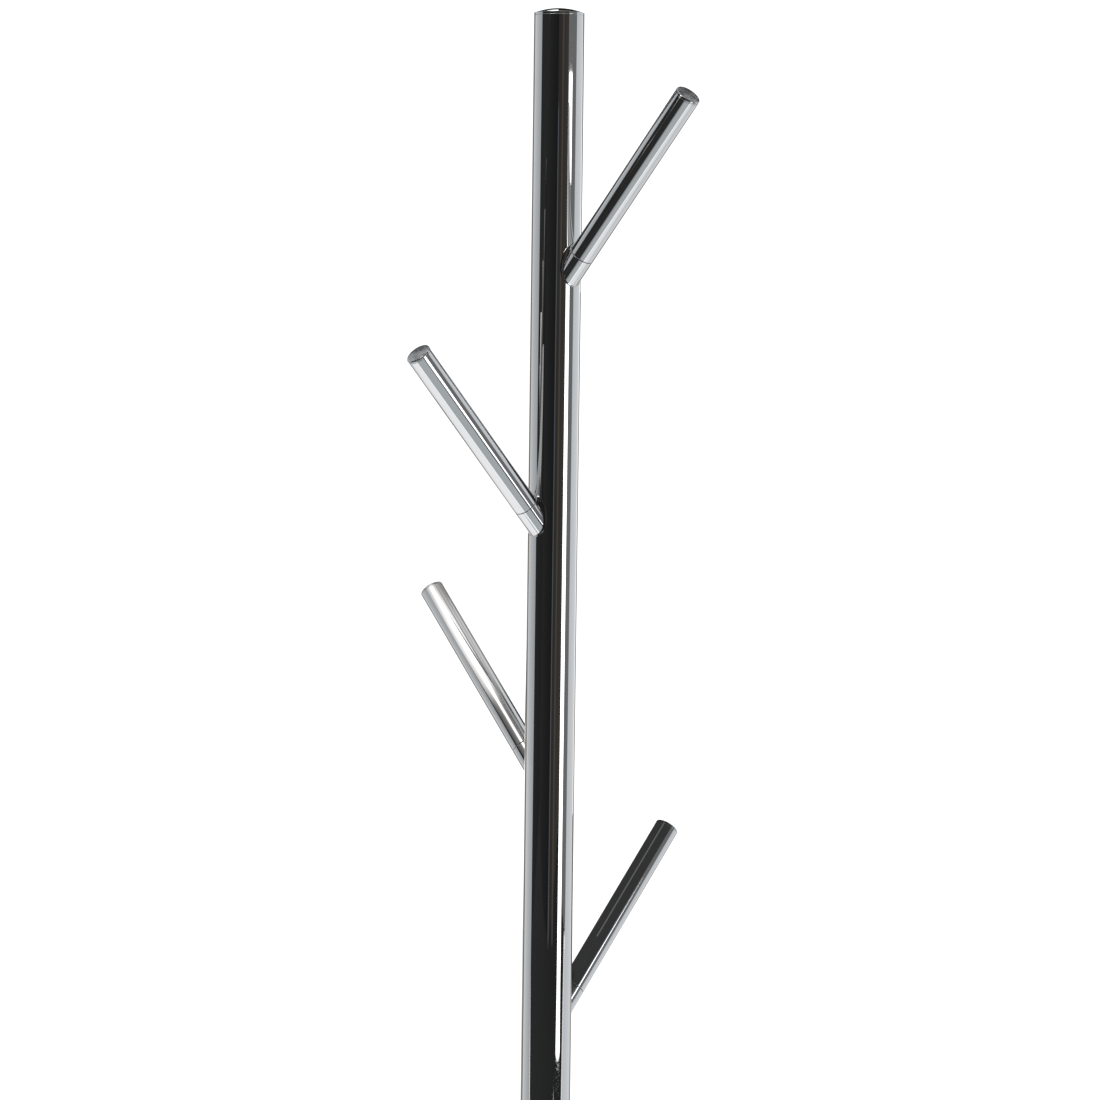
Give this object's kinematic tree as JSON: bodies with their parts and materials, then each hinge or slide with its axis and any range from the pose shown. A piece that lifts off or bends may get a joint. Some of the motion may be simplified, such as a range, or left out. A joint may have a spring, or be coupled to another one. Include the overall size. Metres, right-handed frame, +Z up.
{
  "type": "standing coat rack",
  "caption": "Free-standing coat rack: a round chromed pole on a weighted disc base, with straight upward-slanting pegs set around it in a descending spiral.",
  "frame": {"origin": "on the floor under the pole's axis, at the bottom centre of the base", "axes": "+Z up along the pole; -Y towards the side that shows the two highest pegs; +X to its right"},
  "size_m": [0.3799, 0.38, 1.75],
  "materials": {
    "chrome": "mirror-polished chrome plate",
    "peg_chrome": "mirror-polished chrome plate",
    "cap_chrome": "polished chrome plate, a little uneven",
    "weld_chrome": "chrome plate over a dressed weld",
    "cast_iron": "black paint on a rough casting",
    "foot_rubber": "matt black rubber",
    "zinc_steel": "bright zinc plate",
    "spring_steel": "dark spring steel",
    "plain_steel": "turned steel",
    "washer_nylon": "dark nylon"
  },
  "bodies": {
    "stand": {"base_cover": "chrome", "base_weight": "cast_iron", "base_feet": "foot_rubber", "base_bolt": "zinc_steel", "base_washer": "zinc_steel", "base_spring_washer": "spring_steel", "pole_collar": "chrome", "pole_foot_insert": "plain_steel", "pole_lower": "chrome", "splice_lower_insert": "plain_steel", "splice_stud": "zinc_steel", "splice_upper_insert": "plain_steel", "pole_upper": "chrome", "pole_cap": "chrome", "peg_stub_1": "chrome", "peg_stub_2": "chrome", "peg_stub_3": "chrome", "peg_stub_4": "chrome", "peg_weld_1": "weld_chrome", "peg_weld_2": "weld_chrome", "peg_weld_3": "weld_chrome", "peg_weld_4": "weld_chrome", "peg_stud_1": "zinc_steel", "peg_stud_2": "zinc_steel", "peg_stud_3": "zinc_steel", "peg_stud_4": "zinc_steel"},
    "peg_1_seat": {"peg_washer_1": "washer_nylon"},
    "peg_1": {"peg_tube_1": "peg_chrome", "peg_insert_1": "plain_steel", "peg_cap_1": "cap_chrome"},
    "peg_2_seat": {"peg_washer_2": "washer_nylon"},
    "peg_2": {"peg_tube_2": "peg_chrome", "peg_insert_2": "plain_steel", "peg_cap_2": "cap_chrome"},
    "peg_3_seat": {"peg_washer_3": "washer_nylon"},
    "peg_3": {"peg_tube_3": "peg_chrome", "peg_insert_3": "plain_steel", "peg_cap_3": "cap_chrome"},
    "peg_4_seat": {"peg_washer_4": "washer_nylon"},
    "peg_4": {"peg_tube_4": "peg_chrome", "peg_insert_4": "plain_steel", "peg_cap_4": "cap_chrome"}
  },
  "joints": [
    {"name": "peg_1_travel", "type": "slide", "parent": "stand", "child": "peg_1_seat", "axis": [0.4813, -0.4648, 0.7431], "range_m": [0, 0.01]},
    {"name": "peg_1_turn", "type": "hinge", "parent": "peg_1_seat", "child": "peg_1", "pos_m": [0.02031, -0.01962, 1.55936], "axis": [0.4813, -0.4648, 0.7431], "range_deg": [0, 2880]},
    {"name": "peg_2_travel", "type": "slide", "parent": "stand", "child": "peg_2_seat", "axis": [-0.5126, -0.4301, 0.7431], "range_m": [0, 0.01]},
    {"name": "peg_2_turn", "type": "hinge", "parent": "peg_2_seat", "child": "peg_2", "pos_m": [-0.02163, -0.01815, 1.36436], "axis": [-0.5126, -0.4301, 0.7431], "range_deg": [0, 2880]},
    {"name": "peg_3_travel", "type": "slide", "parent": "stand", "child": "peg_3_seat", "axis": [-0.4894, 0.4563, 0.7431], "range_m": [0, 0.01]},
    {"name": "peg_3_turn", "type": "hinge", "parent": "peg_3_seat", "child": "peg_3", "pos_m": [-0.02065, 0.01926, 1.16936], "axis": [-0.4894, 0.4563, 0.7431], "range_deg": [0, 2880]},
    {"name": "peg_4_travel", "type": "slide", "parent": "stand", "child": "peg_4_seat", "axis": [0.4854, 0.4606, 0.7431], "range_m": [0, 0.01]},
    {"name": "peg_4_turn", "type": "hinge", "parent": "peg_4_seat", "child": "peg_4", "pos_m": [0.02048, 0.01944, 0.97436], "axis": [0.4854, 0.4606, 0.7431], "range_deg": [0, 2880]}
  ],
  "couplings": [
    {"joint": "peg_1_travel", "follows": "peg_1_turn", "m_per_rad": 0.00019894},
    {"joint": "peg_2_travel", "follows": "peg_2_turn", "m_per_rad": 0.00019894},
    {"joint": "peg_3_travel", "follows": "peg_3_turn", "m_per_rad": 0.00019894},
    {"joint": "peg_4_travel", "follows": "peg_4_turn", "m_per_rad": 0.00019894}
  ]
}
